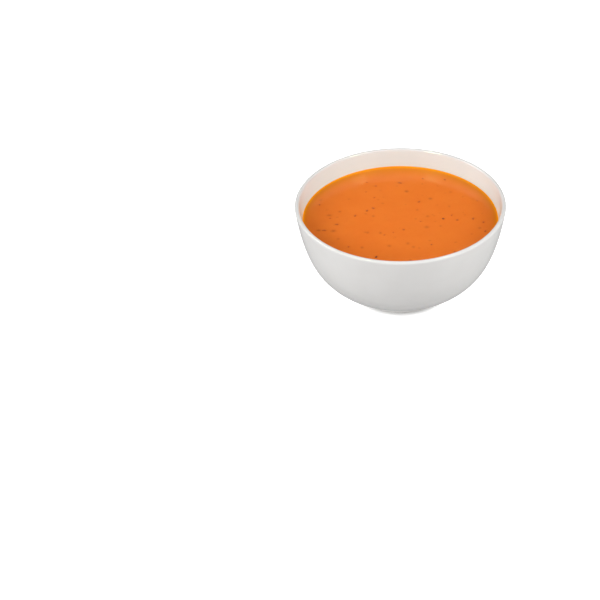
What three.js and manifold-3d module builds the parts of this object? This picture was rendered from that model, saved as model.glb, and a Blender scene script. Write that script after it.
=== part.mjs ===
// Tomato soup in a round white porcelain bowl. The soup stands a finger's width below the
// rim, and dried herbs float on it.
//
// Millimetres, +Z up. The origin is the middle of the foot ring, on the surface that the
// bowl stands on.

import * as THREE from "three";
import { mergeVertices } from "three/addons/utils/BufferGeometryUtils.js";
import Module from "manifold-3d";

// Bowl: rim and outer wall.
const RIM_RADIUS = 75;
const BOWL_HEIGHT = 73;
const LIP_RADIUS = 1.55;
const RIM_SLOPE = 8; // degrees from upright, where the wall meets the lip
const RIM_SWEEP = 53.6; // how strongly the wall keeps to that slope

// Bowl: foot ring and base.
const FOOT_RADIUS = 34;
const FOOT_HEIGHT = 2.6;
const FOOT_TAPER = 0.5; // the ring is narrower where it meets the wall
const FOOT_SLOPE = 35; // degrees from level, where the wall leaves the foot
const FOOT_SWEEP = 25.3;
const FOOT_RING_WIDTH = 4.6;
const FOOT_BEVEL = 0.6;
const RECESS_DEPTH = 2.4;
const RECESS_SLOPE_WIDTH = 1.2;

// Bowl: inside.
const BASE_WALL = 4.4; // wall thickness beside the foot; the rim's is twice the lip's radius
const WALL_BLEND = 0.12; // share of the outer wall below which the inside turns into the floor
const FLOOR_HEIGHT = 6.8;
const FLOOR_FLAT = 22;
const FLOOR_TURN = 8;

// Soup.
const SOUP_LEVEL = 59;
const SOUP_CLEARANCE = 0.3;
const MENISCUS_RISE = 0.8;
const MENISCUS_REACH = 1.2;
const MENISCUS_DISTANCES = [0.4, 1, 2, 3.5]; // of its rings from the soup's edge
const LEVEL_SHARES = [0.92, 0.66, 0.33, 0]; // of its radius, for the rings of the level top

// Herb flecks. Each large one is [x, y, length, width, turn in degrees].
const LARGE_FLECKS = [
  [30.8, -0.2, 2.1, 1.6, 90],
  [13.7, 21.8, 2.5, 2.0, 70],
  [-16.5, -48.1, 2.5, 2.0, 60],
  [-45.1, -7.5, 3.0, 2.3, 25],
  [-53.8, -15.1, 4.0, 1.9, 5],
  [52.1, -0.2, 2.4, 1.9, 60],
  [-0.1, 47.3, 3.2, 2.5, -10],
  [33.1, 51.7, 2.3, 1.7, 80],
  [-23.8, 10.2, 2.3, 1.8, 40],
  [-19.3, 13.5, 2.5, 2.2, -15],
  [-32.2, 3.6, 2.4, 1.8, 75],
  [60.2, -16.2, 2.2, 1.6, 80],
  [59.2, -4.8, 2.3, 1.6, 65],
  [40.8, -1.9, 2.1, 1.7, 50],
];
const SMALL_FLECK_COUNT = 16;
const SMALL_FLECK_LENGTH = [1.2, 2.0];
const SMALL_FLECK_WIDTH = [0.6, 0.9]; // as a share of its length
const FLECK_FIELD_RADIUS = 63;
const FLECK_SPACING = 7;
const FLECK_RISE = 0.3;
const FLECK_DRAFT = 0.1; // how deep a fleck's middle floats
const FLECK_SEED = 2;

// Facets.
const TURN_STEPS = 64;
const WALL_STEPS = 14;
const LIP_STEPS = 6;
const FLOOR_STEPS = 6;
const INNER_WALL_STEPS = 12;
const SOUP_WALL_STEPS = 10;
const HALVINGS = 40; // in the search for a height on the wall
const WELD_TOLERANCE = 1e-5;
const FLECK_SIDES = 6;
const FLECK_RINGS = 4;

const wasm = await Module();
wasm.setup();

// The slope angles as unit directions in the profile plane, radius across and height up.
function direction(degreesFromLevel) {
  const angle = THREE.MathUtils.degToRad(degreesFromLevel);
  return new THREE.Vector2(Math.cos(angle), Math.sin(angle));
}

// The bowl's outer wall, from the foot to the lip, as one cubic curve.
function outerWall() {
  const lipCentre = new THREE.Vector2(RIM_RADIUS - LIP_RADIUS, BOWL_HEIGHT - LIP_RADIUS);
  const foot = new THREE.Vector2(FOOT_RADIUS - FOOT_TAPER, FOOT_HEIGHT);
  const rim = lipCentre.clone().addScaledVector(direction(-RIM_SLOPE), LIP_RADIUS);
  const leaving = foot.clone().addScaledVector(direction(FOOT_SLOPE), FOOT_SWEEP);
  const arriving = rim.clone().addScaledVector(direction(90 - RIM_SLOPE), -RIM_SWEEP);
  return new THREE.CubicBezierCurve(foot, leaving, arriving, rim);
}

// A point of the inner wall: the outer wall's point at share t of it, moved inwards by the
// wall's thickness there and by the clearance that is asked for.
function innerPoint(wall, t, clearance) {
  const rimWall = 2 * LIP_RADIUS;
  const thickness = rimWall + (BASE_WALL - rimWall) * (1 - t) ** 2 + clearance;
  const along = wall.getTangent(t);
  const inwards = new THREE.Vector2(-along.y, along.x);
  return wall.getPoint(t).addScaledVector(inwards, thickness);
}

// The inside's floor, from the end of the inner wall to the axis.
function innerFloor(wall, clearance) {
  const start = innerPoint(wall, WALL_BLEND, clearance);
  const along = wall.getTangent(WALL_BLEND);
  const leaving = start.clone().addScaledVector(along, -FLOOR_TURN);
  const height = FLOOR_HEIGHT + clearance;
  const arriving = new THREE.Vector2(FLOOR_FLAT, height);
  return new THREE.CubicBezierCurve(start, leaving, arriving, new THREE.Vector2(0, height));
}

// The inside from share tTop of the wall down to the axis.
function innerProfile(wall, tTop, steps, clearance) {
  const points = [];
  for (let i = 0; i < steps; i += 1) {
    const t = tTop + (WALL_BLEND - tTop) * (i / steps);
    points.push(innerPoint(wall, t, clearance));
  }
  return points.concat(innerFloor(wall, clearance).getPoints(FLOOR_STEPS));
}

// The share of the wall at which its inside, with the clearance, reaches a height.
function shareAtHeight(wall, height, clearance) {
  let low = WALL_BLEND;
  let high = 1;
  for (let i = 0; i < HALVINGS; i += 1) {
    const middle = (low + high) / 2;
    if (innerPoint(wall, middle, clearance).y < height) {
      low = middle;
    } else {
      high = middle;
    }
  }
  return (low + high) / 2;
}

// A closed mesh with shared vertices, and nothing but their positions.
function welded(geometry) {
  const plain = geometry.clone();
  plain.deleteAttribute("normal");
  plain.deleteAttribute("uv");
  return mergeVertices(plain, WELD_TOLERANCE);
}

// A profile of radius and height, turned round +Z.
function turned(profile) {
  return welded(new THREE.LatheGeometry(profile, TURN_STEPS).rotateX(Math.PI / 2));
}

function toSolid(geometry) {
  const vertProperties = new Float32Array(geometry.attributes.position.array);
  const triVerts = new Uint32Array(geometry.index.array);
  return new wasm.Manifold(new wasm.Mesh({ numProp: 3, vertProperties, triVerts }));
}

function toGeometry(solid) {
  const mesh = solid.getMesh();
  const geometry = new THREE.BufferGeometry();
  geometry.setAttribute("position", new THREE.BufferAttribute(mesh.vertProperties, 3));
  geometry.setIndex(new THREE.BufferAttribute(mesh.triVerts, 1));
  return geometry;
}

// The bowl: the recess under its base, the foot ring, the outer wall, the rounded lip, and
// the inside down to the middle of the floor.
function bowlGeometry(wall) {
  const ringInside = FOOT_RADIUS - FOOT_RING_WIDTH;
  const base = [
    new THREE.Vector2(0, RECESS_DEPTH),
    new THREE.Vector2(ringInside - RECESS_SLOPE_WIDTH, RECESS_DEPTH),
    new THREE.Vector2(ringInside, FOOT_BEVEL),
    new THREE.Vector2(ringInside + FOOT_BEVEL, 0),
    new THREE.Vector2(FOOT_RADIUS - FOOT_BEVEL, 0),
    new THREE.Vector2(FOOT_RADIUS, FOOT_BEVEL),
  ];
  const lip = new THREE.EllipseCurve(
    RIM_RADIUS - LIP_RADIUS,
    BOWL_HEIGHT - LIP_RADIUS,
    LIP_RADIUS,
    LIP_RADIUS,
    THREE.MathUtils.degToRad(-RIM_SLOPE),
    THREE.MathUtils.degToRad(180 - RIM_SLOPE),
  );
  const outside = wall.getPoints(WALL_STEPS);
  const rounding = lip.getPoints(LIP_STEPS).slice(1, -1);
  return turned([...base, ...outside, ...rounding, ...innerProfile(wall, 1, INNER_WALL_STEPS, 0)]);
}

// The soup without its flecks: the bowl's inside up to the soup's level, which rises a
// little where the soup wets the wall, by an amount that falls off exponentially.
function brothGeometry(wall) {
  const edge = shareAtHeight(wall, SOUP_LEVEL + MENISCUS_RISE, SOUP_CLEARANCE);
  const under = innerProfile(wall, edge, SOUP_WALL_STEPS, SOUP_CLEARANCE).reverse();
  const edgeRadius = under[under.length - 1].x;
  const meniscus = MENISCUS_DISTANCES.map((distance) => {
    const rise = MENISCUS_RISE * Math.exp(-distance / MENISCUS_REACH);
    return new THREE.Vector2(edgeRadius - distance, SOUP_LEVEL + rise);
  });
  const level = LEVEL_SHARES.map((share) => new THREE.Vector2(edgeRadius * share, SOUP_LEVEL));
  return turned([...under, ...meniscus, ...level]);
}

// A seeded draw of numbers from 0 to 1: the mulberry32 rule on 32-bit whole numbers.
function seededDraw(seed) {
  let state = seed;
  return () => {
    state = (state + 0x6d2b79f5) | 0;
    let mixed = Math.imul(state ^ (state >>> 15), 1 | state);
    mixed = (mixed + Math.imul(mixed ^ (mixed >>> 7), 61 | mixed)) ^ mixed;
    return ((mixed ^ (mixed >>> 14)) >>> 0) / 2 ** 32;
  };
}

// All flecks that float: the large ones, and small ones drawn evenly over the soup, each
// at least the fleck spacing from every other.
function floatingFlecks() {
  const flecks = [...LARGE_FLECKS];
  const draw = seededDraw(FLECK_SEED);
  const between = ([low, high]) => low + (high - low) * draw();
  while (flecks.length < LARGE_FLECKS.length + SMALL_FLECK_COUNT) {
    const radius = FLECK_FIELD_RADIUS * Math.sqrt(draw());
    const angle = 2 * Math.PI * draw();
    const x = radius * Math.cos(angle);
    const y = radius * Math.sin(angle);
    const length = between(SMALL_FLECK_LENGTH);
    const width = length * between(SMALL_FLECK_WIDTH);
    const turn = 180 * draw();
    if (flecks.every((other) => Math.hypot(other[0] - x, other[1] - y) > FLECK_SPACING)) {
      flecks.push([x, y, length, width, turn]);
    }
  }
  return flecks;
}

// A fleck: a flat rounded flake, half sunk in the soup.
function fleckGeometry([x, y, length, width, turn]) {
  const flake = new THREE.SphereGeometry(1, FLECK_SIDES, FLECK_RINGS).rotateX(Math.PI / 2);
  flake.scale(length / 2, width / 2, FLECK_RISE + FLECK_DRAFT);
  flake.rotateZ(THREE.MathUtils.degToRad(turn));
  flake.translate(x, y, SOUP_LEVEL - FLECK_DRAFT);
  return welded(flake);
}

function soupGeometry(wall) {
  const flecks = floatingFlecks().map((fleck) => toSolid(fleckGeometry(fleck)));
  const soup = flecks.reduce((solid, fleck) => solid.add(fleck), toSolid(brothGeometry(wall)));
  return toGeometry(soup);
}

const wall = outerWall();

const porcelain = new THREE.MeshStandardMaterial({
  color: 0xefedea,
  roughness: 0.16,
  metalness: 0,
});
const soupFinish = new THREE.MeshStandardMaterial({
  color: 0xec7c2c,
  roughness: 0.28,
  metalness: 0,
});

const bowl = new THREE.Mesh(bowlGeometry(wall), porcelain);
bowl.name = "bowl";

const soup = new THREE.Mesh(soupGeometry(wall), soupFinish);
soup.name = "soup";

const filledBowl = new THREE.Group();
filledBowl.add(bowl, soup);

export default filledBowl;
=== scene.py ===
"""A white porcelain bowl of tomato soup, with dried herbs floating on it.

Everything is in metres, +Z up, with the origin at the middle of the foot ring, on the surface
that the bowl stands on. The bowl is seen first from its -Y side.
"""

import logging
import math
from collections.abc import Callable
from dataclasses import dataclass, field
from enum import Enum

import bpy
import numpy as np
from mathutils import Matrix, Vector


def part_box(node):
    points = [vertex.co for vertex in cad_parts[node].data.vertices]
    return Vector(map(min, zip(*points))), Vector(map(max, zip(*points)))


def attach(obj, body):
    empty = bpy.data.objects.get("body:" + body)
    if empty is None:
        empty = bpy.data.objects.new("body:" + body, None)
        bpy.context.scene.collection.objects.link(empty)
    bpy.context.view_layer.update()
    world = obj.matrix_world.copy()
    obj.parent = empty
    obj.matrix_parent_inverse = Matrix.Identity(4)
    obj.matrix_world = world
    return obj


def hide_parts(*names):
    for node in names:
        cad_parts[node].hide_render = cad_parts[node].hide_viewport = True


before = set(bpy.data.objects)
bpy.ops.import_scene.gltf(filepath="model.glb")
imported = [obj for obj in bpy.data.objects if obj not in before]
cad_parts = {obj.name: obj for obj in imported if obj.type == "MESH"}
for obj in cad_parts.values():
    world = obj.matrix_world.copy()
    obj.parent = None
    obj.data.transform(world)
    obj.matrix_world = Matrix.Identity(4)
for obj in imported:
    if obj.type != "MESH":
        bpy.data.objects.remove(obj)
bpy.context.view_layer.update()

MM = 0.001
Array = np.ndarray
Pair = tuple[float, float]
Colour = tuple[float, float, float]
log = logging.getLogger("bowl_of_soup")


# --- Shader maths ---------------------------------------------------------------------------


class Shade:
    """An output socket of a node, with arithmetic that adds Math nodes to its tree."""

    def __init__(self, tree: "NodeTree", socket: bpy.types.NodeSocket) -> None:
        """Wraps a socket.

        Args:
            tree: The nodes that the socket belongs to.
            socket: The output socket.
        """
        self.tree = tree
        self.socket = socket

    def __add__(self, other: "Shade | float") -> "Shade":
        """This value plus another."""
        return self.tree.maths("ADD", self, other)

    def __radd__(self, other: "Shade | float") -> "Shade":
        """Another value plus this one."""
        return self.tree.maths("ADD", other, self)

    def __mul__(self, other: "Shade | float") -> "Shade":
        """This value times another."""
        return self.tree.maths("MULTIPLY", self, other)

    def between(self, low: float, high: float) -> "Shade":
        """A smooth step from 0 at low to 1 at high.

        Args:
            low: The value that becomes 0.
            high: The value that becomes 1. It may be the lower of the two.

        Returns:
            The stepped value.
        """
        settings = {"interpolation_type": "SMOOTHSTEP"}
        sockets = {"Value": self, "From Min": low, "From Max": high}
        return self.tree.node("ShaderNodeMapRange", settings, sockets)


class NodeTree:
    """The nodes of a material or of the world."""

    def __init__(self, owner: bpy.types.Material | bpy.types.World) -> None:
        """Empties the owner's nodes.

        Args:
            owner: What the nodes are for.
        """
        owner.use_nodes = True
        self.owner = owner
        self.nodes = owner.node_tree.nodes
        self.links = owner.node_tree.links
        self.nodes.clear()

    def node(
        self,
        kind: str,
        settings: dict[str, object] | None = None,
        sockets: dict[str | int, object] | None = None,
        output: str | int = 0,
    ) -> Shade:
        """Adds one node.

        Args:
            kind: The node's type.
            settings: What is set on the node first.
            sockets: Values or links of its inputs, by name or number.
            output: Which output to return.

        Returns:
            That output.
        """
        made = self.nodes.new(kind)
        for name, value in (settings or {}).items():
            setattr(made, name, value)
        for key, value in (sockets or {}).items():
            if isinstance(value, Shade):
                self.links.new(value.socket, made.inputs[key])
            else:
                made.inputs[key].default_value = value
        return Shade(self, made.outputs[output])

    def maths(self, operation: str, *values: Shade | float) -> Shade:
        """A Math node on one or more values."""
        return self.node("ShaderNodeMath", {"operation": operation}, dict(enumerate(values)))

    def place(self) -> Shade:
        """The point on the piece, in metres."""
        return self.node("ShaderNodeTexCoord", output="Object")

    def height(self) -> Shade:
        """The point's height above the table, in metres."""
        return self.node("ShaderNodeSeparateXYZ", sockets={0: self.place()}, output="Z")

    def noise(self, grain: float, detail: float = 2.0, roughness: float = 0.5) -> Shade:
        """Smooth noise from 0 to 1.

        Args:
            grain: The size of its largest blotches, in metres.
            detail: How many finer layers it has.
            roughness: How strong the finer layers are.

        Returns:
            The noise.
        """
        sockets = {
            "Vector": self.place(),
            "Scale": 1 / grain,
            "Detail": detail,
            "Roughness": roughness,
        }
        return self.node("ShaderNodeTexNoise", sockets=sockets)

    def cells(self, spacing: float) -> Shade:
        """Distance to the nearest of scattered points, in units of their spacing.

        Args:
            spacing: The spacing of the points, in metres.

        Returns:
            The distance.
        """
        sockets = {"Vector": self.place(), "Scale": 1 / spacing}
        return self.node("ShaderNodeTexVoronoi", sockets=sockets, output="Distance")

    def attribute(self, name: str) -> Shade:
        """A value that the piece's mesh carries at its points."""
        settings = {"attribute_name": name}
        return self.node("ShaderNodeAttribute", settings, output="Fac")

    def blend(self, share: Shade, one: Shade | Colour, other: Shade | Colour) -> Shade:
        """A colour between two.

        Args:
            share: How much of the other colour there is, from 0 to 1.
            one: The colour where share is 0.
            other: The colour where share is 1.

        Returns:
            The colour.
        """
        first, second = (c if isinstance(c, Shade) else (*c, 1.0) for c in (one, other))
        sockets = {0: share, 6: first, 7: second}
        return self.node("ShaderNodeMix", {"data_type": "RGBA"}, sockets, 2)

    def bump(self, height: Shade, depth: float, under: Shade | None = None) -> Shade:
        """Small relief.

        Args:
            height: The relief, from 0 to 1.
            depth: How deep a relief of 1 is, in metres.
            under: Coarser relief that it is added to.

        Returns:
            The surface's normal.
        """
        sockets = {"Height": height, "Distance": depth, "Strength": 1.0}
        if under is not None:
            sockets["Normal"] = under
        return self.node("ShaderNodeBump", sockets=sockets)

    def surface(self, sockets: dict[str | int, object]) -> bpy.types.Material:
        """Ends a material's nodes with the shader of a solid surface.

        Args:
            sockets: Values or links of the shader's inputs.

        Returns:
            The finished material.
        """
        shader = self.node("ShaderNodeBsdfPrincipled", sockets=sockets)
        return self.close("ShaderNodeOutputMaterial", shader)

    def close(self, kind: str, shader: Shade) -> bpy.types.Material | bpy.types.World:
        """Ends the nodes with their output.

        Args:
            kind: The output node's type.
            shader: The shader that it shows.

        Returns:
            The finished owner.
        """
        output = self.nodes.new(kind)
        self.links.new(shader.socket, output.inputs["Surface"])
        return self.owner


# --- Meshes ---------------------------------------------------------------------------------


@dataclass
class Surface:
    """A mesh as whole arrays: its points, its faces, and values at its points."""

    points: Array
    faces: list[Array]
    values: dict[str, Array] = field(default_factory=dict)

    def build(self, name: str, material: bpy.types.Material) -> bpy.types.Object:
        """Makes a smooth-shaded object at the origin.

        Args:
            name: The object's name.
            material: Its finish.

        Returns:
            The object, linked into the scene.
        """
        mesh = bpy.data.meshes.new(name)
        faces = [face for group in self.faces for face in group.tolist()]
        mesh.from_pydata(self.points.tolist(), [], faces)
        mesh.polygons.foreach_set("use_smooth", np.ones(len(faces), bool))
        for key, value in self.values.items():
            layer = mesh.attributes.new(key, "FLOAT", "POINT")
            layer.data.foreach_set("value", value.astype(np.float32))
        mesh.materials.append(material)
        mesh.update()
        piece = bpy.data.objects.new(name, mesh)
        bpy.context.scene.collection.objects.link(piece)
        return piece


def ring_faces(rings: int, sides: int) -> list[Array]:
    """Faces of a closed skin of rings between two poles.

    Point 0 is the first pole, then come the rings with their points in turn, and the last
    point is the last pole. A fan closes each end, and quads join each ring to the next.

    Args:
        rings: How many rings there are.
        sides: How many points each has.

    Returns:
        The first fan, the quads and the last fan.
    """
    here = np.arange(sides)
    following = np.roll(here, -1)
    start = 1 + np.arange(rings - 1)[:, None] * sides
    quads = np.stack(
        [start + here, start + sides + here, start + sides + following, start + following], -1
    )
    last_ring = 1 + (rings - 1) * sides
    last_pole = 1 + rings * sides
    first_fan = np.stack([np.zeros_like(here), 1 + here, 1 + following], -1)
    last_fan = np.stack(
        [np.full_like(here, last_pole), last_ring + following, last_ring + here], -1
    )
    return [first_fan, quads.reshape(-1, 4), last_fan]


def revolve(profile: Array, sides: int) -> Surface:
    """Turns a profile round +Z.

    A profile point of radius r and height z becomes the ring (r cos a, r sin a, z) for the
    angles a of all sides. The first and last points lie on the axis and stay single points.
    A profile that runs along the underside first, then up the outside, gives faces that
    point outwards.

    Args:
        profile: Radius and height of each point, in rows.
        sides: How many steps the full turn has.

    Returns:
        The closed surface.
    """
    angle = np.linspace(0, 2 * math.pi, sides, endpoint=False)
    radius, height = profile[1:-1, :1], profile[1:-1, 1:]
    x, y = radius * np.cos(angle), radius * np.sin(angle)
    rings = np.stack([x, y, np.broadcast_to(height, x.shape)], -1).reshape(-1, 3)
    poles = np.array([[0, 0, profile[0, 1]], [0, 0, profile[-1, 1]]])
    points = np.concatenate([poles[:1], rings, poles[1:]])
    faces = [np.flip(group, -1) for group in ring_faces(len(profile) - 2, sides)]
    return Surface(points, faces)


def cubic(handles: Array, share: Array) -> tuple[Array, Array]:
    """A cubic curve.

    With u = 1 - t, its point is u^3 A + 3 u^2 t B + 3 u t^2 C + t^3 D, and its direction is
    the derivative of that, u^2 (B - A) + 2 u t (C - B) + t^2 (D - C), at unit length.

    Args:
        handles: The four points A, B, C and D, in rows.
        share: The values of t.

    Returns:
        The points and the unit directions, in rows.
    """
    t = share[:, None]
    u = 1 - t
    a, b, c, d = handles
    points = u**3 * a + 3 * u**2 * t * b + 3 * u * t**2 * c + t**3 * d
    along = u**2 * (b - a) + 2 * u * t * (c - b) + t**2 * (d - c)
    return points, along / np.linalg.norm(along, axis=1, keepdims=True)


def rounded(corners: Array, radius: float, steps: int) -> Array:
    """A line through corners, each but the ends rounded off.

    A corner at C with the line coming from A and going to B becomes the curve
    u^2 P + 2 u t C + t^2 Q, where P and Q lie on the line a radius before and after C, or
    half-way to the next corner where that is nearer.

    Args:
        corners: The corners, in rows, the first and last being the line's ends.
        radius: How far from a corner its rounding starts.
        steps: How many points each rounding has.

    Returns:
        The points, in rows.
    """
    t = np.linspace(0, 1, steps)[None, :, None]
    before, corner, after = corners[:-2, None], corners[1:-1, None], corners[2:, None]
    reach_in, reach_out = (
        np.linalg.norm(other - corner, axis=-1, keepdims=True) for other in (before, after)
    )
    start = corner + (before - corner) * np.minimum(radius / reach_in, 0.5)
    end = corner + (after - corner) * np.minimum(radius / reach_out, 0.5)
    curves = (1 - t) ** 2 * start + 2 * (1 - t) * t * corner + t**2 * end
    return np.concatenate([corners[:1], curves.reshape(-1, 2), corners[-1:]])


def seeded_draw(seed: int) -> Callable[[], float]:
    """A draw of numbers from 0 to 1, by the mulberry32 rule on 32-bit whole numbers.

    Args:
        seed: Where the draw starts.

    Returns:
        A function that gives the next number.
    """
    whole = 0xFFFFFFFF
    state = seed

    def draw() -> float:
        """The next number."""
        nonlocal state
        state = (state + 0x6D2B79F5) & whole
        mixed = (state ^ (state >> 15)) * (1 | state) & whole
        mixed = (mixed + ((mixed ^ (mixed >> 7)) * (61 | mixed) & whole) & whole) ^ mixed
        return (mixed ^ (mixed >> 14)) / (whole + 1)

    return draw


# --- Finishes -------------------------------------------------------------------------------


@dataclass(frozen=True)
class PorcelainFinish:
    """Clear glaze over white porcelain, left bare on the underside of the foot ring.

    The inside is tinted green, a painted counter to the soup's reddish bounce light. A roughness
    is given as its least value and what noise adds to it, and a relief as its grain and its depth.
    """

    body: Colour = (0.755, 0.744, 0.728)
    body_shade: Colour = (0.735, 0.723, 0.707)
    # painted tint: green inside, to offset the soup's reddish bounce light on the inner wall
    inside: Colour = (0.755, 0.80, 0.778)
    bare: Colour = (0.70, 0.67, 0.62)
    cloud_grain: float = 22 * MM
    cloud_range: Pair = (0.35, 0.7)
    glaze_line: float = 0.55 * MM
    line_grain: float = 2 * MM
    line_waver: float = 0.3 * MM
    line_softness: float = 0.15 * MM
    roughness: Pair = (0.07, 0.05)
    roughness_grain: float = 35 * MM
    bare_roughness: float = 0.55
    ripples: Pair = (14 * MM, 0.05 * MM)
    grit: Pair = (0.5 * MM, 0.08 * MM)
    refraction: float = 1.5
    translucency: float = 0.12
    glow: Colour = (1.0, 0.9, 0.8)
    glow_reach: float = 1.2 * MM

    def material(self) -> bpy.types.Material:
        """The porcelain's material.

        Returns:
            A glazed white with faint clouding, slow ripples in the glaze, a matt, grainy foot
            below the glaze line, and a painted green tint inside against the soup's bounce light.
            The mesh's "inside" value says where the inside is.
        """
        finish = NodeTree(bpy.data.materials.new("glazed_porcelain"))
        clouds = finish.noise(self.cloud_grain, 3.0).between(*self.cloud_range)
        colour = finish.blend(clouds, self.body, self.body_shade)
        # painted tint on the inside, against the soup's reddish bounce light
        colour = finish.blend(finish.attribute("inside"), colour, self.inside)
        waver = finish.noise(self.line_grain) * self.line_waver
        bare = (finish.height() + waver).between(
            self.glaze_line + self.line_softness, self.glaze_line
        )
        colour = finish.blend(bare, colour, self.bare)
        least, added = self.roughness
        glazed = least + finish.noise(self.roughness_grain, 3.0) * added
        ripple_grain, ripple_depth = self.ripples
        ripples = finish.bump(finish.noise(ripple_grain, 1.0), ripple_depth)
        grit_grain, grit_depth = self.grit
        grit = finish.bump(finish.noise(grit_grain, 3.0) * bare, grit_depth, ripples)
        return finish.surface(
            {
                "Base Color": colour,
                "Roughness": glazed + bare * self.bare_roughness,
                "IOR": self.refraction,
                "Normal": grit,
                "Subsurface Weight": self.translucency,
                "Subsurface Radius": self.glow,
                "Subsurface Scale": self.glow_reach,
            }
        )


@dataclass(frozen=True)
class SoupFinish:
    """Smooth, strained tomato soup: a wet, slightly cloudy orange with fine pulp.

    A roughness is given as its least value and what noise adds to it, and a relief as its
    grain and its depth.
    """

    body: Colour = (0.79, 0.202, 0.0285)
    body_shade: Colour = (0.766, 0.187, 0.0255)
    pulp: Colour = (0.62, 0.10, 0.012)
    # painted shade near the wall, with less blue where the soup mirrors the far inner wall
    painted_wall_shade: Colour = (0.70, 0.198, 0.007)
    # the wetted film: yellower as a thin film is, and lighter as painted light from the wall
    lit_thin_film: Colour = (0.97, 0.36, 0.006)
    sunk: Colour = (0.30, 0.05, 0.014)
    cloud_grain: float = 16 * MM
    cloud_range: Pair = (0.3, 0.7)
    pulp_spacing: float = 2.6 * MM
    pulp_edge: Pair = (0.16, 0.05)
    pulp_patch_grain: float = 7 * MM
    pulp_patch_range: Pair = (0.45, 0.6)
    pulp_strength: float = 0.35
    roughness: Pair = (0.08, 0.06)
    roughness_grain: float = 3 * MM
    swell: Pair = (9 * MM, 0.016 * MM)
    grain: Pair = (0.7 * MM, 0.0015 * MM)
    refraction: float = 1.25
    mirror_tint: Colour = (1.0, 0.75, 0.15)
    translucency: float = 0.2
    glow: Colour = (1.0, 0.35, 0.1)
    glow_reach: float = 2.0 * MM

    def material(self) -> bpy.types.Material:
        """The soup's material.

        Returns:
            Orange with faint clouds and pulp specks. It is darker where the mesh's "sunk"
            value says that something is sunk in it. Near the wall it carries painted shade, with
            less blue on the far side against the inner wall's reflection, and on the wetted film it
            is yellower, partly as a thin film is and partly as painted light thrown back from the
            wall.
            Each follows a value of the mesh.
        """
        finish = NodeTree(bpy.data.materials.new("tomato_soup"))
        clouds = finish.noise(self.cloud_grain, 4.0, 0.6).between(*self.cloud_range)
        colour = finish.blend(clouds, self.body, self.body_shade)
        specks = finish.cells(self.pulp_spacing).between(*self.pulp_edge)
        patches = finish.noise(self.pulp_patch_grain).between(*self.pulp_patch_range)
        colour = finish.blend(specks * patches * self.pulp_strength, colour, self.pulp)
        # painted shade near the wall and painted light on the wetted film, by the mesh's values
        for name, other in (("sunk", self.sunk), ("painted_wall_shade", self.painted_wall_shade), ("lit_thin_film", self.lit_thin_film)):
            colour = finish.blend(finish.attribute(name), colour, other)
        least, added = self.roughness
        swell_grain, swell_depth = self.swell
        swell = finish.bump(finish.noise(swell_grain, 2.0), swell_depth)
        fine_grain, fine_depth = self.grain
        return finish.surface(
            {
                "Base Color": colour,
                "Roughness": least + finish.noise(self.roughness_grain, 3.0) * added,
                "IOR": self.refraction,
                "Specular Tint": (*self.mirror_tint, 1.0),
                "Diffuse Roughness": 1.0,
                "Normal": finish.bump(finish.noise(fine_grain, 2.0), fine_depth, swell),
                "Subsurface Weight": self.translucency,
                "Subsurface Radius": self.glow,
                "Subsurface Scale": self.glow_reach,
            }
        )


class FleckKind(Enum):
    """What a fleck in the soup is."""

    PEPPER = "pepper"
    HERB = "herb"
    SKIN = "skin"


@dataclass(frozen=True)
class FleckFinish:
    """A soaked, rough fleck of pepper, herb or tomato skin.

    The roughness is given as its least value and what the mottling adds to it, and the relief
    as its grain and its depth.
    """

    kind: FleckKind
    dark: Colour
    light: Colour
    mottling_grain: float = 0.6 * MM
    mottling_range: Pair = (0.3, 0.7)
    relief: Pair = (0.25 * MM, 0.05 * MM)
    roughness: Pair = (0.5, 0.2)
    refraction: float = 1.35
    shine: float = 0.15

    def material(self) -> bpy.types.Material:
        """The flecks' material.

        Returns:
            Two mottled tones with a damp sheen and a fibrous grain.
        """
        finish = NodeTree(bpy.data.materials.new(f"wet_{self.kind.value}"))
        mottling = finish.noise(self.mottling_grain, 3.0).between(*self.mottling_range)
        least, added = self.roughness
        relief_grain, relief_depth = self.relief
        return finish.surface(
            {
                "Base Color": finish.blend(mottling, self.dark, self.light),
                "Roughness": least + mottling * added,
                "IOR": self.refraction,
                "Specular IOR Level": self.shine,
                "Normal": finish.bump(finish.noise(relief_grain, 2.0), relief_depth),
            }
        )


FLECK_FINISHES = (
    FleckFinish(FleckKind.PEPPER, (0.08, 0.010, 0.010), (0.19, 0.028, 0.016)),
    FleckFinish(FleckKind.HERB, (0.42, 0.077, 0.011), (0.58, 0.12, 0.015)),
    FleckFinish(FleckKind.SKIN, (0.52, 0.09, 0.010), (0.62, 0.12, 0.013)),
)


# --- The bowl -------------------------------------------------------------------------------


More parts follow.
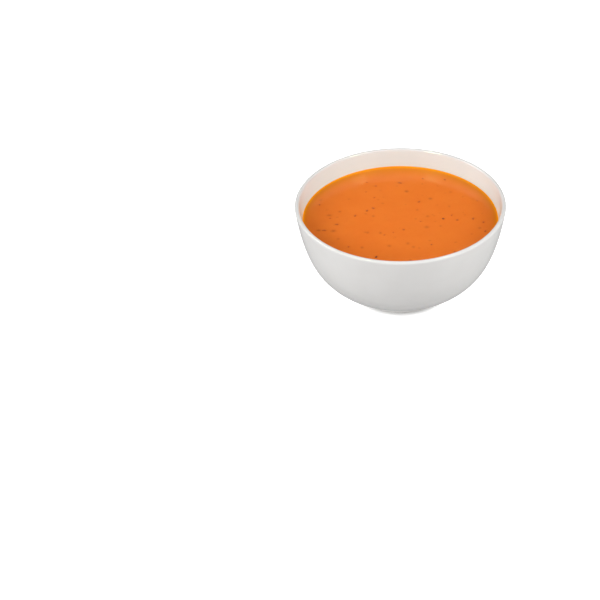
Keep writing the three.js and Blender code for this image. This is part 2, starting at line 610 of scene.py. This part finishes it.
@dataclass
class Bowl:
    """The porcelain bowl: a foot ring with a recess, a curved wall and a rounded lip.

    Shares are places along the wall's curve, from 0 at the foot to 1 at the lip.
    """

    rim_radius: float
    height: float
    lip_radius: float = 1.55 * MM
    rim_slope: float = math.radians(8)
    rim_sweep: float = 53.6 * MM
    foot_radius: float = 34 * MM
    foot_height: float = 2.6 * MM
    foot_taper: float = 0.5 * MM
    foot_slope: float = math.radians(35)
    foot_sweep: float = 25.3 * MM
    foot_ring_width: float = 4.6 * MM
    foot_bevel: float = 0.6 * MM
    foot_rounding: float = 0.7 * MM
    foot_end_share: float = 0.016
    recess_depth: float = 2.4 * MM
    recess_slope_width: float = 1.2 * MM
    base_wall: float = 4.4 * MM
    wall_start_share: float = 0.02
    floor_share: float = 0.12
    floor_height: float = 6.8 * MM
    floor_flat: float = 22 * MM
    floor_turn: float = 8 * MM
    out_of_round: float = 0.08 * MM
    sides: int = 256
    rounding_steps: int = 7
    outer_steps: int = 80
    lip_steps: int = 20
    inner_steps: int = 70
    floor_steps: int = 26
    lookup_steps: int = 2000

    def outer_wall(self, share: Array) -> tuple[Array, Array]:
        """The outer wall from the foot to the lip, as one cubic curve.

        Args:
            share: Places along it.

        Returns:
            Points and directions, as radius and height.
        """
        foot = np.array([self.foot_radius - self.foot_taper, self.foot_height])
        leaving = foot + self.foot_sweep * np.array(
            [math.cos(self.foot_slope), math.sin(self.foot_slope)]
        )
        upwards = np.array([math.sin(self.rim_slope), math.cos(self.rim_slope)])
        outwards = np.array([math.cos(self.rim_slope), -math.sin(self.rim_slope)])
        rim = self.lip_centre() + self.lip_radius * outwards
        return cubic(np.stack([foot, leaving, rim - self.rim_sweep * upwards, rim]), share)

    def lip_centre(self) -> Array:
        """The middle of the lip's round section, as radius and height."""
        return np.array([self.rim_radius - self.lip_radius, self.height - self.lip_radius])

    def inner_wall(self, share: Array, clearance: float = 0.0) -> tuple[Array, Array]:
        """The inside of the wall: the outer wall moved inwards by the wall's thickness.

        The thickness at share t is the rim's, plus (1 - t)^2 of what the base has more.

        Args:
            share: Places along the wall.
            clearance: How much further inwards the line lies.

        Returns:
            Points and directions, as radius and height.
        """
        points, along = self.outer_wall(share)
        rim_wall = 2 * self.lip_radius
        thickness = rim_wall + (self.base_wall - rim_wall) * (1 - share) ** 2 + clearance
        inwards = np.stack([-along[:, 1], along[:, 0]], -1)
        return points + inwards * thickness[:, None], along

    def inside(self, top: float, clearance: float = 0.0) -> Array:
        """The inside from a place on the wall down to the middle of the floor.

        Args:
            top: The place on the wall where it starts, as a share.
            clearance: How much further inwards the line lies.

        Returns:
            Points, as radius and height.
        """
        share = np.linspace(top, self.floor_share, self.inner_steps)
        wall, along = self.inner_wall(share, clearance)
        leaving = wall[-1] - along[-1] * self.floor_turn
        level = self.floor_height + clearance
        handles = np.array([wall[-1], leaving, [self.floor_flat, level], [0, level]])
        floor, _ = cubic(handles, np.linspace(0, 1, self.floor_steps))
        return np.concatenate([wall, floor[1:]])

    def share_at(self, height: float, clearance: float = 0.0) -> float:
        """The place on the wall at which its inside reaches a height.

        Args:
            height: The height above the table.
            clearance: How much further inwards the line lies.

        Returns:
            The share of the wall.
        """
        share = np.linspace(self.floor_share, 1, self.lookup_steps)
        points, _ = self.inner_wall(share, clearance)
        return float(np.interp(height, points[:, 1], share))

    def foot(self) -> Array:
        """The underside and the foot ring, from the axis to the start of the outer wall.

        Returns:
            Points, as radius and height, with every corner rounded.
        """
        ring_inside = self.foot_radius - self.foot_ring_width
        wall, _ = self.outer_wall(np.array([0.0, self.foot_end_share]))
        corners = np.array(
            [
                [0, self.recess_depth],
                [ring_inside - self.recess_slope_width, self.recess_depth],
                [ring_inside, self.foot_bevel],
                [ring_inside + self.foot_bevel, 0],
                [self.foot_radius - self.foot_bevel, 0],
                [self.foot_radius, self.foot_bevel],
                wall[0],
                wall[1],
            ]
        )
        return rounded(corners, self.foot_rounding, self.rounding_steps)

    def profile(self) -> Array:
        """The whole section: underside, foot ring, outer wall, lip, and the inside.

        Returns:
            Points, as radius and height, from the axis to the axis.
        """
        outside, _ = self.outer_wall(np.linspace(self.wall_start_share, 1, self.outer_steps))
        turn = np.linspace(-self.rim_slope, math.pi - self.rim_slope, self.lip_steps)[1:-1]
        lip = self.lip_centre() + self.lip_radius * np.stack([np.cos(turn), np.sin(turn)], -1)
        return np.concatenate([self.foot(), outside, lip, self.inside(1.0)])

    def build(self) -> bpy.types.Object:
        """Makes the bowl.

        A fired bowl is slightly oval, and its rim isn't quite level. With a = the angle
        round the axis, k = (z / height)^2, R = the rim's radius and e = how far the rim is
        out of round, each point's radius shrinks by the share e k (1 - cos 2a) / 2R and its
        height by e k (1 + sin(2a + 1)) / 2. The value "inside" is 1 on the rings that the
        profile ends with, which are those of the inside.

        Returns:
            The object.
        """
        profile = self.profile()
        surface = revolve(profile, self.sides)
        ring = (np.arange(len(surface.points)) - 1) // self.sides + 1
        surface.values["inside"] = ring >= len(profile) - len(self.inside(1.0))
        x, y, z = surface.points.T
        angle = np.arctan2(y, x)
        oval = self.out_of_round * (z / self.height) ** 2
        shrink = 1 - oval * (1 - np.cos(2 * angle)) / (2 * self.rim_radius)
        drop = oval * (1 + np.sin(2 * angle + 1)) / 2
        surface.points = np.stack([x * shrink, y * shrink, z - drop], -1)
        piece = surface.build("porcelain_bowl", PorcelainFinish().material())
        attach(piece, "root")
        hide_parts("bowl")
        return piece


# --- Flecks ---------------------------------------------------------------------------------


@dataclass
class Flecks:
    """The flecks that float on the soup: some placed, and the rest drawn by a seeded rule.

    Placed and drawn rows hold x, y, length and width in millimetres, and the turn in degrees.
    A drawn width is a share of the length.
    """

    level: float
    rise: float = 0.3 * MM
    draft: float = 0.1 * MM
    field_radius: float = 63
    spacing: float = 7
    small_count: int = 16
    small_length: Pair = (1.2, 2.0)
    small_width: Pair = (0.6, 0.9)
    seed: int = 2
    herb_every: int = 3
    rings: int = 5
    sides: int = 12
    lobes: Pair = (0.16, 0.12)
    unevenness: float = 0.08
    curl: float = 0.12
    placed: dict[FleckKind, tuple[tuple[float, ...], ...]] = field(
        default_factory=lambda: {
            FleckKind.PEPPER: (
                (30.8, -0.2, 2.1, 1.6, 90),
                (-16.5, -48.1, 2.5, 2.0, 60),
            ),
            FleckKind.HERB: (
                (-45.1, -7.5, 3.0, 2.3, 25),
                (-53.8, -15.1, 4.0, 1.9, 5),
                (52.1, -0.2, 2.4, 1.9, 60),
                (-0.1, 47.3, 3.2, 2.5, -10),
                (33.1, 51.7, 2.3, 1.7, 80),
                (-23.8, 10.2, 2.3, 1.8, 40),
                (-19.3, 13.5, 2.5, 2.2, -15),
                (-32.2, 3.6, 2.4, 1.8, 75),
                (60.2, -16.2, 2.2, 1.6, 80),
                (59.2, -4.8, 2.3, 1.6, 65),
                (40.8, -1.9, 2.1, 1.7, 50),
                (13.7, 21.8, 2.5, 2.0, 70),
            ),
            FleckKind.SKIN: (),
        }
    )

    def drawn(self) -> Array:
        """The small flecks, drawn evenly over the soup, each clear of every other.

        Returns:
            Their rows.
        """
        shortest, longest = self.small_length
        narrowest, widest = self.small_width
        flecks = [row for rows in self.placed.values() for row in rows]
        placed = len(flecks)
        draw = seeded_draw(self.seed)
        while len(flecks) < placed + self.small_count:
            radius = self.field_radius * math.sqrt(draw())
            angle = 2 * math.pi * draw()
            x, y = radius * math.cos(angle), radius * math.sin(angle)
            length = shortest + (longest - shortest) * draw()
            share = narrowest + (widest - narrowest) * draw()
            turn = 180 * draw()
            if all(math.hypot(other[0] - x, other[1] - y) > self.spacing for other in flecks):
                flecks.append((x, y, length, length * share, turn))
        return np.array(flecks[placed:])

    def rows(self) -> dict[FleckKind, Array]:
        """All floating flecks by kind: of the drawn ones every third is herb, the rest skin.

        Returns:
            For each kind, rows of x, y, length, width and turn, in metres and radians.
        """
        units = np.array([MM, MM, MM, MM, math.radians(1)])
        small = self.drawn()
        herb = np.arange(len(small)) % self.herb_every == self.herb_every - 1
        extra = {
            FleckKind.PEPPER: small[:0],
            FleckKind.HERB: small[herb],
            FleckKind.SKIN: small[~herb],
        }
        return {
            kind: np.concatenate([np.array(rows).reshape(-1, 5), extra[kind]]) * units
            for kind, rows in self.placed.items()
        }

    def flakes(self, rows: Array, seed: int) -> Surface:
        """Closed flat flakes with uneven outlines.

        On the grid of s from the top pole to the bottom pole and of angle a, the outline's
        share is q = sin(pi s) (1 + l cos(2a + p) + l' cos(3a + p')), and the point is
        (length / 2 q cos a, width / 2 q sin a, t cos(pi s) + c t q^2 cos(2a + p)), then
        turned by the fleck's turn and moved to its place. Here l and l' are the lobes, t is
        the thickness and c the curl. p, p' and a slight unevenness of q are drawn.

        Args:
            rows: The flecks' x, y, length, width and turn, in metres and radians.
            seed: Where the draw of the outlines starts.

        Returns:
            All flakes as one surface.
        """
        rng = np.random.default_rng(seed)
        count = len(rows)
        x0, y0, length, width, turn = (column[:, None, None] for column in rows.T)
        phase = rng.uniform(0, 2 * math.pi, (2, count, 1, 1))
        s = np.linspace(0, 1, self.rings + 2)[None, 1:-1, None]
        a = np.linspace(0, 2 * math.pi, self.sides, endpoint=False)[None, None, :]
        two_lobes, three_lobes = np.cos(2 * a + phase[0]), np.cos(3 * a + phase[1])
        outline = 1 + self.lobes[0] * two_lobes + self.lobes[1] * three_lobes
        least, most = 1 - self.unevenness, 1 + self.unevenness
        uneven = rng.uniform(least, most, (count, self.rings, self.sides))
        q = np.sin(math.pi * s) * outline * uneven
        thickness = self.rise + self.draft
        curl = self.curl * thickness * q**2 * two_lobes
        along, across = length / 2 * q * np.cos(a), width / 2 * q * np.sin(a)
        x = x0 + along * np.cos(turn) - across * np.sin(turn)
        y = y0 + along * np.sin(turn) + across * np.cos(turn)
        z = self.level - self.draft + thickness * np.cos(math.pi * s) + curl
        ring_points = np.stack([x, y, z], -1).reshape(count, -1, 3)
        centre = np.concatenate([rows[:, :2], np.full((count, 1), self.level - self.draft)], 1)
        top, bottom = (centre + [0, 0, way * thickness] for way in (1, -1))
        points = np.concatenate([top[:, None], ring_points, bottom[:, None]], 1)
        step = points.shape[1] * np.arange(count)[:, None, None]
        faces = [
            (group[None] + step).reshape(-1, group.shape[1])
            for group in ring_faces(self.rings, self.sides)
        ]
        return Surface(points.reshape(-1, 3), faces)

    def build(self) -> list[bpy.types.Object]:
        """Makes one piece for each kind of fleck.

        Returns:
            The objects.
        """
        pieces = []
        for order, (finish, rows) in enumerate(zip(FLECK_FINISHES, self.rows().values())):
            surface = self.flakes(rows, seed=order + 1)
            piece = surface.build(f"{finish.kind.value}_flecks", finish.material())
            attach(piece, "root")
            pieces.append(piece)
        return pieces


# --- The soup -------------------------------------------------------------------------------


@dataclass
class Soup:
    """The soup: the bowl's inside up to its level, with a wetted edge and soft sunk flecks.

    The widths of the wetted film with its painted light and of the painted shade near the wall
    are those on the near and on the far side. A wave is given by the millimetres along x and
    along y that turn it by a radian, its phase in the middle and its height. The placed rows of
    sunk flecks hold x, y, length and width in millimetres, the turn in degrees, and the darkness.
    """

    bowl: Bowl
    flecks: Flecks
    meniscus_rise: float = 0.8 * MM
    meniscus_reach: float = 1.2 * MM
    into_wall: float = 0.15 * MM
    swell: float = 0.04 * MM
    collar_rise: float = 0.12 * MM
    collar_reach: float = 0.7 * MM
    still_width: float = 6 * MM
    waves: tuple[tuple[float, ...], ...] = ((9, 14, 0, 1), (-21, 7, 1, 1), (5.5, -6, 2, 0.5))
    lit_film_width: Pair = (1.3 * MM, 2.2 * MM)
    painted_wall_shade_width: Pair = (3.5 * MM, 13 * MM)
    stain_spread: float = 1.5
    stain_darkness: float = 0.2
    sunk_field_radius: float = 66
    sunk_count: int = 46
    sunk_length: Pair = (1.2, 2.6)
    sunk_width: Pair = (0.55, 0.9)
    sunk_darkness: Pair = (0.1, 0.3)
    sunk_seed: int = 11
    sunk_falloff: float = 1.2
    sides: int = 480
    edge_shares: Pair = (0.0008, 0.06)
    edge_steps: int = 24
    middle_steps: int = 118
    top_margin: float = 0.05 * MM
    sunk_placed: tuple[tuple[float, ...], ...] = (
        (4.7, 36.0, 3.0, 3.0, 0, 0.5),
        (22.0, 26.2, 2.8, 2.7, 0, 0.45),
        (12.4, 11.3, 2.0, 2.4, 0, 0.3),
        (-19.2, 3.3, 2.2, 2.4, 10, 0.35),
        (-43.4, 9.3, 2.2, 2.4, 0, 0.4),
        (-50.8, 4.5, 4.0, 2.4, 0, 0.4),
        (-57.8, -14.9, 3.4, 2.4, 0, 0.5),
        (-47.2, -15.6, 3.6, 3.0, 15, 0.45),
        (19.0, -10.8, 3.6, 3.3, 0, 0.35),
        (28.8, -9.4, 1.6, 1.8, 0, 0.35),
        (19.7, 3.1, 2.6, 2.7, 0, 0.3),
        (-22.9, -17.7, 2.2, 2.7, 0, 0.35),
        (-13.8, -18.1, 2.0, 2.7, 0, 0.4),
        (-43.5, -25.6, 2.2, 2.4, 0, 0.3),
        (5.5, -31.3, 2.4, 3.0, 0, 0.3),
        (-7.5, -34.3, 2.8, 2.7, 0, 0.35),
        (9.4, -35.6, 2.4, 2.7, 0, 0.3),
        (-26.5, -36.3, 2.4, 2.7, 0, 0.35),
        (7.3, -51.8, 2.4, 2.7, 0, 0.4),
        (56.4, -12.0, 2.4, 2.4, 0, 0.35),
        (36.8, 35.0, 2.6, 2.7, 0, 0.2),
    )

    def profile(self) -> tuple[Array, float]:
        """The soup's section without its waves.

        Up the wall it lies a little inside the porcelain, so that no gap shows. Its top is
        the level plus the rise of the wetted edge, which falls off exponentially with the
        distance d from the wall: rise e^(-d / reach).

        Returns:
            Points, as radius and height, and the radius of the soup's edge.
        """
        top_height = self.flecks.level + self.meniscus_rise
        share = self.bowl.share_at(top_height, -self.into_wall)
        under = self.bowl.inside(share, -self.into_wall)[::-1]
        edge = under[-1, 0]
        first, last = self.edge_shares
        near_wall = np.geomspace(first, last, self.edge_steps)
        distance = edge * np.concatenate([near_wall, np.linspace(last, 1, self.middle_steps)[1:]])
        rise = self.meniscus_rise * np.exp(-distance / self.meniscus_reach)
        top = np.stack([edge - distance, self.flecks.level + rise], -1)
        return np.concatenate([under, top]), edge

    def sunk_rows(self) -> Array:
        """The flecks under the surface: placed ones, and faint ones that are drawn.

        Returns:
            Rows of x, y, length, width, turn and darkness, in metres and radians.
        """
        rng = np.random.default_rng(self.sunk_seed)
        radius = self.sunk_field_radius * np.sqrt(rng.uniform(0, 1, self.sunk_count))
        angle = rng.uniform(0, 2 * math.pi, self.sunk_count)
        length = rng.uniform(*self.sunk_length, self.sunk_count)
        drawn = np.stack(
            [
                radius * np.cos(angle),
                radius * np.sin(angle),
                length,
                length * rng.uniform(*self.sunk_width, self.sunk_count),
                rng.uniform(0, 180, self.sunk_count),
                rng.uniform(*self.sunk_darkness, self.sunk_count),
            ],
            -1,
        )
        units = np.array([MM, MM, MM, MM, math.radians(1), 1])
        return np.concatenate([np.array(self.sunk_placed), drawn]) * units

    @staticmethod
    def reach_of(rows: Array, points: Array) -> Array:
        """How far points lie from flecks, in units of each fleck's half size.

        With u and v the offset along and across a fleck, it is the root of
        (u / half length)^2 + (v / half width)^2.

        Args:
            rows: The flecks' x, y, length, width and turn in the first five columns.
            points: The points, in rows.

        Returns:
            A row for each point, with a column for each fleck.
        """
        dx, dy = (points[:, axis, None] - rows[None, :, axis] for axis in (0, 1))
        cosine, sine = np.cos(rows[:, 4]), np.sin(rows[:, 4])
        along = (dx * cosine + dy * sine) / (rows[:, 2] / 2)
        across = (dy * cosine - dx * sine) / (rows[:, 3] / 2)
        return np.hypot(along, across)

    def build(self) -> bpy.types.Object:
        """Makes the soup.

        The level top gets a slow swell, the sum of three sine waves across it, and a small
        collar where it wets each floating fleck. Every fleck stains the soup round it. The wetted
        film with its painted light and the painted shade near the wall fall off from the wall as
        e^(-(d / width)^2) with the distance d, and a sunk fleck's darkness as e^(-f r^2) with the
        reach r.

        Returns:
            The object.
        """
        profile, edge = self.profile()
        surface = revolve(profile, self.sides)
        points = surface.points
        radius = np.hypot(points[:, 0], points[:, 1])
        on_top = points[:, 2] > self.flecks.level - self.top_margin
        inland = np.clip((edge - radius) / self.still_width, 0, 1) * on_top
        x, y = points[:, 0] / MM, points[:, 1] / MM
        waves = sum(height * np.sin(x / a + y / b + phase) for a, b, phase, height in self.waves)
        waves /= sum(height for *_, height in self.waves)
        floating = np.concatenate(list(self.flecks.rows().values()))
        floating_size = floating[:, 2:4].mean(1) / 2
        beyond = (self.reach_of(floating, points) - 1) * floating_size
        collar = np.exp(-np.clip(beyond, 0, None) / self.collar_reach).max(1)
        points[:, 2] += inland * (self.swell * waves + self.collar_rise * collar)
        stained = floating * [1, 1, self.stain_spread, self.stain_spread, 1]
        stains = np.column_stack([stained, np.full(len(stained), self.stain_darkness)])
        sunk = np.concatenate([self.sunk_rows(), stains])
        darkness = np.exp(-self.sunk_falloff * self.reach_of(sunk, points) ** 2) * sunk[:, 5]
        surface.values["sunk"] = darkness.max(1) * on_top
        far_side = np.clip(points[:, 1] / edge, 0, 1) ** 2
        # painted light on the film at the wall and painted shade near it, both wider on the far
        # side
        for name, (near, far) in (("lit_thin_film", self.lit_film_width), ("painted_wall_shade", self.painted_wall_shade_width)):
            width = near + (far - near) * far_side
            surface.values[name] = np.exp(-(((edge - radius) / width) ** 2)) * on_top
        piece = surface.build("tomato_soup", SoupFinish().material())
        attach(piece, "root")
        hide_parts("soup")
        return piece


# --- The studio -----------------------------------------------------------------------------


@dataclass(frozen=True)
class Softbox:
    """A soft square light that faces the bowl, or a place near it, from a direction.

    A mirrored one lights glossy surfaces only. The others show in none, as light does that
    comes through a tent. A grid in front of a light narrows its spread. Angles are in degrees.
    """

    name: str
    azimuth: float
    elevation: float
    power: float
    size: float = 0.7
    mirrored: bool = False
    distance: float = 1.2
    aim: tuple[float, float, float] = (0.0, 0.0, 0.0)
    spread: float = 180.0
    colour: Colour = (1.0, 1.0, 1.0)

    def build(self, target: Vector) -> None:
        """Makes the light.

        Args:
            target: The point that its aim is measured from.
        """
        light = bpy.data.lights.new(self.name, "AREA")
        light.shape = "SQUARE"
        light.size = self.size
        light.energy = self.power
        light.color = self.colour
        light.spread = math.radians(self.spread)
        piece = bpy.data.objects.new(self.name, light)
        piece.visible_glossy = self.mirrored
        piece.visible_diffuse = not self.mirrored
        away = direction(self.azimuth, self.elevation)
        piece.location = target + Vector(self.aim) + away * self.distance
        piece.rotation_euler = away.to_track_quat("Z", "Y").to_euler()
        bpy.context.scene.collection.objects.link(piece)


def direction(azimuth: float, elevation: float) -> Vector:
    """The way to something seen from the bowl.

    Args:
        azimuth: Degrees round from -Y towards +X.
        elevation: Degrees above the table.

    Returns:
        A unit vector.
    """
    a, e = math.radians(azimuth), math.radians(elevation)
    return Vector((math.sin(a) * math.cos(e), -math.cos(a) * math.cos(e), math.sin(e)))


# What the small lights share that the far wall mirrors on to the soup, as pale patches.
GRIDDED = {"size": 0.18, "mirrored": True, "distance": 0.4, "spread": 26, "colour": (0.8, 1.0, 0.5)}


@dataclass
class Studio:
    """A pale table, soft lights and the camera.

    The table's tone and glow are given twice: as it lights the bowl, and as it is seen.
    """

    target: Vector
    camera_elevation: float = 33.15
    camera_distance: float = 1.25
    sensor: float = 36.0
    picture_width: int = 600
    scale: float = 1402.0
    target_pixel: Pair = (400.07, 202.29)
    clip: Pair = (0.05, 20.0)
    floor_reach: float = 3.0
    floor_bounce: Pair = (0.2, 0.32)
    floor_seen: Pair = (0.9, 0.6)
    full_glow_distance: Pair = (0.5, 1.2)
    shadow_reach: float = 5 * MM
    shadow_range: Pair = (0.3, 0.9)
    shadow_samples: int = 8
    ambient: float = 0.0
    softboxes: tuple[Softbox, ...] = (
        Softbox("left", -90, 20, 7.0),
        Softbox("right", 90, 25, 4.5),
        Softbox("front_left", -50, 32, 7.4),
        Softbox("front_right", 25, 10, 6.3),
        Softbox("right_high", 70, 48, 6.0),
        Softbox("overhead", 0, 75, 1.9),
        Softbox("back", 180, 8, 4.5),
        Softbox("left_sheen", -98, 32, 7.0, mirrored=True),
        Softbox("left_grid", -42.5, 43, 0.09, aim=(0.023, 0.068, -0.003), **GRIDDED),
        Softbox("right_grid", 54, 43, 0.07, aim=(-0.029, 0.066, -0.001), **GRIDDED),
    )

    def camera(self) -> None:
        """Makes the camera.

        It looks at the target along its elevation, and is then turned about its own place
        until the target falls on its pixel. The scale is in pixels per metre at the target.
        """
        focal = self.scale * self.camera_distance
        data = bpy.data.cameras.new("camera")
        data.sensor_width = self.sensor
        data.lens = focal / self.picture_width * self.sensor
        data.clip_start, data.clip_end = self.clip
        piece = bpy.data.objects.new("camera", data)
        away = direction(0, self.camera_elevation)
        middle = self.picture_width / 2
        px, py = self.target_pixel
        seen = Vector(((px - middle) / focal, (middle - py) / focal, -1.0))
        turn = Vector((0, 0, -1)).rotation_difference(seen)
        piece.location = self.target + away * self.camera_distance
        piece.rotation_mode = "QUATERNION"
        piece.rotation_quaternion = away.to_track_quat("Z", "Y") @ turn.conjugated()
        bpy.context.scene.collection.objects.link(piece)
        bpy.context.scene.camera = piece

    @staticmethod
    def glowing(finish: NodeTree, tone: float, glow: Shade | float) -> Shade:
        """A matt grey surface that glows as well.

        Args:
            finish: The nodes that it joins.
            tone: How light the grey is.
            glow: How strong the glow is.

        Returns:
            The shader.
        """
        matt = finish.node("ShaderNodeBsdfDiffuse", sockets={"Color": (tone, tone, tone, 1.0)})
        lit = finish.node("ShaderNodeEmission", sockets={"Strength": glow})
        return finish.node("ShaderNodeAddShader", sockets={0: matt, 1: lit})

    def floor(self) -> None:
        """Makes the table's white top, which is seen from above only.

        It glows where it is looked at, as an overexposed table does, and throws back less
        light on the bowl than it shows. The glow fades close to what stands on it, so that
        the bowl has a shadow where it touches the table, and grows to full white where the
        table runs out of the lights' reach.
        """
        finish = NodeTree(bpy.data.materials.new("white_table"))
        openness = finish.node(
            "ShaderNodeAmbientOcclusion",
            {"samples": self.shadow_samples},
            {"Distance": self.shadow_reach},
            "AO",
        ).between(*self.shadow_range)
        length = {"operation": "LENGTH"}
        distance = finish.node("ShaderNodeVectorMath", length, {0: finish.place()}, "Value")
        tone, glow = self.floor_seen
        glow_there = distance.between(*self.full_glow_distance) * (1 - glow) + glow
        bounce = self.glowing(finish, *self.floor_bounce)
        seen = self.glowing(finish, tone, openness * glow_there)
        looked_at = finish.node("ShaderNodeLightPath", output="Is Camera Ray")
        top = finish.node("ShaderNodeMixShader", sockets={0: looked_at, 1: bounce, 2: seen})
        clear = finish.node("ShaderNodeBsdfTransparent")
        below = finish.node("ShaderNodeNewGeometry", output="Backfacing")
        shader = finish.node("ShaderNodeMixShader", sockets={0: below, 1: top, 2: clear})
        material = finish.close("ShaderNodeOutputMaterial", shader)
        corners = self.floor_reach * np.array([[-1, -1, 0], [1, -1, 0], [1, 1, 0], [-1, 1, 0]])
        piece = Surface(corners, [np.array([[0, 1, 2, 3]])]).build("table", material)

    def surroundings(self) -> None:
        """Makes the room: white to look at, and dark as a light."""
        room = NodeTree(bpy.data.worlds.new("room"))
        white = (1.0, 1.0, 1.0, 1.0)
        lit = room.node("ShaderNodeBackground", sockets={"Color": white, "Strength": self.ambient})
        seen = room.node("ShaderNodeBackground", sockets={"Color": white, "Strength": 1.0})
        looked_at = room.node("ShaderNodeLightPath", output="Is Camera Ray")
        shader = room.node("ShaderNodeMixShader", sockets={0: looked_at, 1: lit, 2: seen})
        bpy.context.scene.world = room.close("ShaderNodeOutputWorld", shader)

    def build(self) -> None:
        """Makes everything that isn't the bowl of soup."""
        self.camera()
        self.floor()
        self.surroundings()
        for softbox in self.softboxes:
            softbox.build(self.target)
        bpy.context.scene.view_settings.view_transform = "Standard"
        bpy.context.scene.view_settings.look = "None"


def main() -> None:
    """Builds the bowl, the soup, its flecks and the studio."""
    logging.basicConfig(level=logging.INFO, format="%(name)s: %(message)s")
    _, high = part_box("bowl")
    bowl = Bowl(rim_radius=high.x, height=high.z)
    flecks = Flecks(level=59.0 * MM)
    soup = Soup(bowl, flecks)
    Studio(target=Vector((0, 0, high.z))).build()
    pieces = [bowl.build(), soup.build(), *flecks.build()]
    for piece in pieces:
        log.info("%s: %d faces", piece.name, len(piece.data.polygons))


if __name__ == "__main__":
    main()
